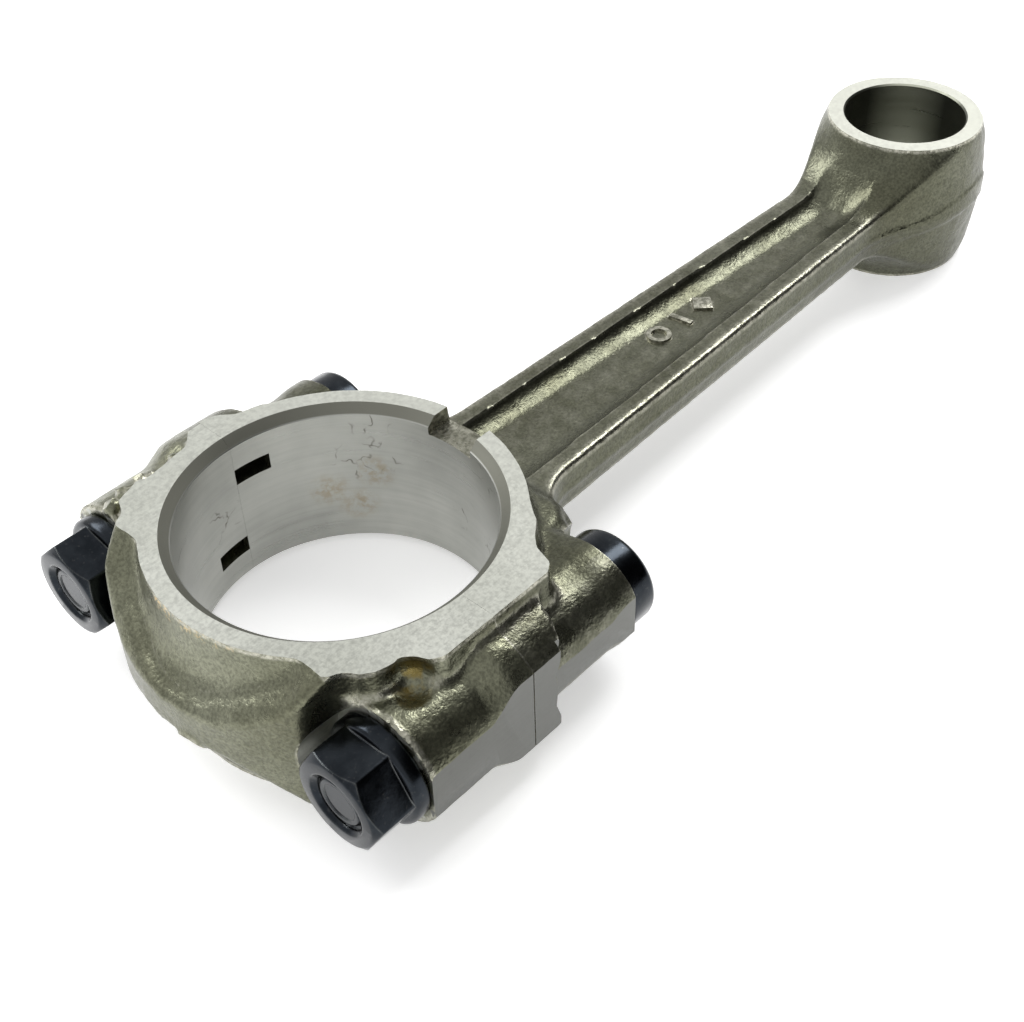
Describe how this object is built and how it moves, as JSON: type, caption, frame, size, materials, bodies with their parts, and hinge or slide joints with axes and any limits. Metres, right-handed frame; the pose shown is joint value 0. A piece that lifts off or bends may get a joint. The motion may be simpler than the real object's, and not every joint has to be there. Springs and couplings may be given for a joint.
{
  "type": "connecting rod",
  "caption": "Forged connecting rod with an I-section shank, a split big end with a bolted bearing cap, collar nuts and a plain piston-pin eye.",
  "frame": {"origin": "middle of the underside of the whole assembly's box, in the plane of the lower eye faces", "axes": "+X along the rod from the big end to the small end, +Z along both bores, +Y across the rod to its left bolt"},
  "size_m": [0.1992, 0.0756, 0.028],
  "materials": {
    "forged_steel": "as forged, shot blasted, with machined faces",
    "forged_steel_cap": "as forged, shot blasted, with machined faces",
    "black_oxide_bolts": "oiled black oxide",
    "black_oxide_nuts": "oiled black oxide"
  },
  "bodies": {
    "rod": {"rod_forging": "forged_steel", "bolt_left": "black_oxide_bolts", "bolt_right": "black_oxide_bolts"},
    "cap": {"bearing_cap": "forged_steel_cap"},
    "nut_left": {"nut_left": "black_oxide_nuts"},
    "nut_right": {"nut_right": "black_oxide_nuts"}
  },
  "joints": [
    {"name": "cap_draw", "type": "slide", "parent": "rod", "child": "cap", "axis": [-1, 0, 0], "range_m": [0, 0.008]},
    {"name": "nut_left_turn", "type": "hinge", "parent": "cap", "child": "nut_left", "pos_m": [-0.0904, 0.029, 0.014], "axis": [-1, 0, 0], "range_deg": [0, 2880]},
    {"name": "nut_right_turn", "type": "hinge", "parent": "cap", "child": "nut_right", "pos_m": [-0.0904, -0.029, 0.014], "axis": [-1, 0, 0], "range_deg": [0, 2880]}
  ],
  "couplings": [
    {"joint": "nut_left_turn", "follows": "cap_draw", "rad_per_m": 6283.2},
    {"joint": "nut_right_turn", "follows": "cap_draw", "rad_per_m": 6283.2}
  ]
}
